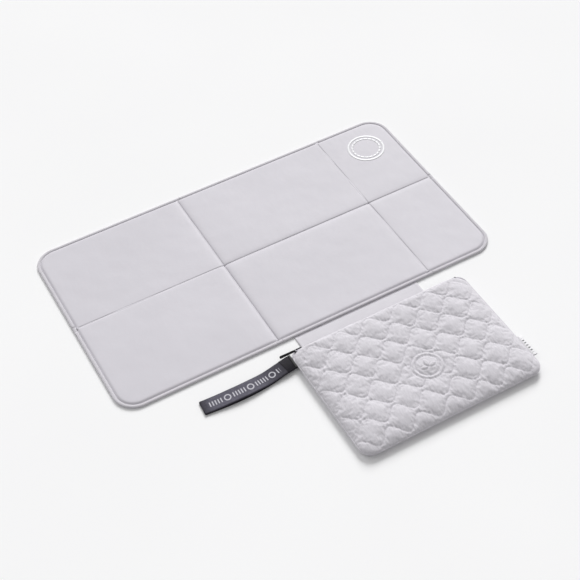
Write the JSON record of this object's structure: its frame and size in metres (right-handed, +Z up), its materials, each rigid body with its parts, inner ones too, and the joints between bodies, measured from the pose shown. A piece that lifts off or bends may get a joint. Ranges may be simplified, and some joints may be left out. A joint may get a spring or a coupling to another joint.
{
  "type": "fold-out changing mat with zip pouch",
  "caption": "Thin padded changing mat, creased into folding panels, sewn by a short flap to a quilted zip pouch with a wrist strap.",
  "frame": {"origin": "middle of the whole footprint, on the surface it lies on", "axes": "+X along the mat's long edge towards the pouch's label side, +Y from the pouch towards the mat's far edge, +Z up out of the wipeable face"},
  "size_m": [0.66, 0.62, 0.02],
  "materials": {
    "coated_cover": "smooth wipeable coating on a plain weave, satin",
    "foam": "open-cell foam sheet",
    "underside_cloth": "plain woven polyester, matt",
    "binding_tape": "fine ribbed tape, matt",
    "flap_cloth": "plain woven cloth, matt",
    "melange_jersey": "brushed melange knit, matt",
    "batting": "fluffy fibre fill",
    "lining": "smooth woven lining",
    "zip_tape": "woven zip tape",
    "zip_coil": "moulded nylon coil",
    "dark_metal": "satin black enamel",
    "strap_webbing": "ribbed polyester webbing",
    "anchor_webbing": "dense black bar tack over webbing",
    "label_satin": "woven satin label"
  },
  "bodies": {
    "near_center": {"top_cover_near_center": "coated_cover", "foam_insert_near_center": "foam", "bottom_cover_near_center": "underside_cloth", "edge_binding_near_center": "binding_tape", "crease_web_near_left": "coated_cover", "crease_web_near_right": "coated_cover", "crease_web_row_center": "coated_cover"},
    "near_left": {"top_cover_near_left": "coated_cover", "foam_insert_near_left": "foam", "bottom_cover_near_left": "underside_cloth", "edge_binding_near_left": "binding_tape", "crease_web_row_left": "coated_cover"},
    "near_right": {"top_cover_near_right": "coated_cover", "foam_insert_near_right": "foam", "bottom_cover_near_right": "underside_cloth", "edge_binding_near_right": "binding_tape", "crease_web_row_right": "coated_cover"},
    "far_center": {"top_cover_far_center": "coated_cover", "foam_insert_far_center": "foam", "bottom_cover_far_center": "underside_cloth", "edge_binding_far_center": "binding_tape", "crease_web_far_left": "coated_cover", "crease_web_far_right": "coated_cover"},
    "far_left": {"top_cover_far_left": "coated_cover", "foam_insert_far_left": "foam", "bottom_cover_far_left": "underside_cloth", "edge_binding_far_left": "binding_tape"},
    "far_right": {"top_cover_far_right": "coated_cover", "foam_insert_far_right": "foam", "bottom_cover_far_right": "underside_cloth", "edge_binding_far_right": "binding_tape"},
    "flap": {"connecting_flap": "flap_cloth"},
    "pouch": {"pouch_front_shell": "melange_jersey", "pouch_front_batting": "batting", "pouch_front_lining": "lining", "pouch_back_panel": "melange_jersey", "pouch_back_lining": "lining", "zip_tape_front": "zip_tape", "zip_tape_back": "zip_tape", "zip_coil_front": "zip_coil", "zip_coil_back": "zip_coil", "zip_bottom_stop": "dark_metal", "zip_top_stop_front": "dark_metal", "zip_top_stop_back": "dark_metal", "strap_anchor_bar": "anchor_webbing", "side_label": "label_satin"},
    "slider": {"zip_slider": "dark_metal"},
    "pull_tab": {"zip_pull_tab": "dark_metal"},
    "wrist_strap": {"wrist_strap_webbing": "strap_webbing"}
  },
  "joints": [
    {"name": "far_fold", "type": "hinge", "parent": "near_center", "child": "far_center", "pos_m": [0.0675, 0.129, 0.0052], "axis": [1, 0, 0], "range_deg": [0, 179.9], "deforming": ["crease_web_row_center"]},
    {"name": "left_fold", "type": "hinge", "parent": "near_center", "child": "near_left", "pos_m": [-0.068, 0.0355, 0.0052], "axis": [0, -1, 0], "range_deg": [-179.9, 0], "deforming": ["crease_web_near_left", "crease_web_far_left"]},
    {"name": "far_left_fold", "type": "hinge", "parent": "near_left", "child": "far_left", "pos_m": [-0.199, 0.129, 0.0052], "axis": [1, 0, 0], "range_deg": [0, 179.9], "deforming": ["crease_web_row_left"]},
    {"name": "right_fold", "type": "hinge", "parent": "near_center", "child": "near_right", "pos_m": [0.203, 0.0355, 0.0084], "axis": [0, 1, 0], "range_deg": [-179.9, 0], "deforming": ["crease_web_near_right", "crease_web_far_right"]},
    {"name": "far_right_fold", "type": "hinge", "parent": "near_right", "child": "far_right", "pos_m": [0.2665, 0.129, 0.0052], "axis": [1, 0, 0], "range_deg": [0, 179.9], "deforming": ["crease_web_row_right"]},
    {"name": "flap_fold", "type": "hinge", "parent": "near_center", "child": "flap", "pos_m": [0.066, -0.05815, 0.0015], "axis": [-1, 0, 0], "range_deg": [0, 90]},
    {"name": "pouch_fold", "type": "hinge", "parent": "flap", "child": "pouch", "pos_m": [0.066, -0.0865, 0.0015], "axis": [-1, 0, 0], "range_deg": [0, 90]},
    {"name": "zip_slide", "type": "slide", "parent": "pouch", "child": "slider", "axis": [1, 0, 0], "range_m": [0, 0.27]},
    {"name": "puller_swing", "type": "hinge", "parent": "slider", "child": "pull_tab", "pos_m": [-0.051, -0.0855, 0.0068], "axis": [0, 0, 1], "range_deg": [-165, 0]},
    {"name": "strap_swing", "type": "hinge", "parent": "pouch", "child": "wrist_strap", "pos_m": [-0.0758, -0.1015, 0.0057], "axis": [0, -1, 0], "range_deg": [-110, 0]}
  ],
  "couplings": [
    {"joint": "far_left_fold", "follows": "far_fold", "ratio": 1},
    {"joint": "far_right_fold", "follows": "far_fold", "ratio": 1}
  ]
}
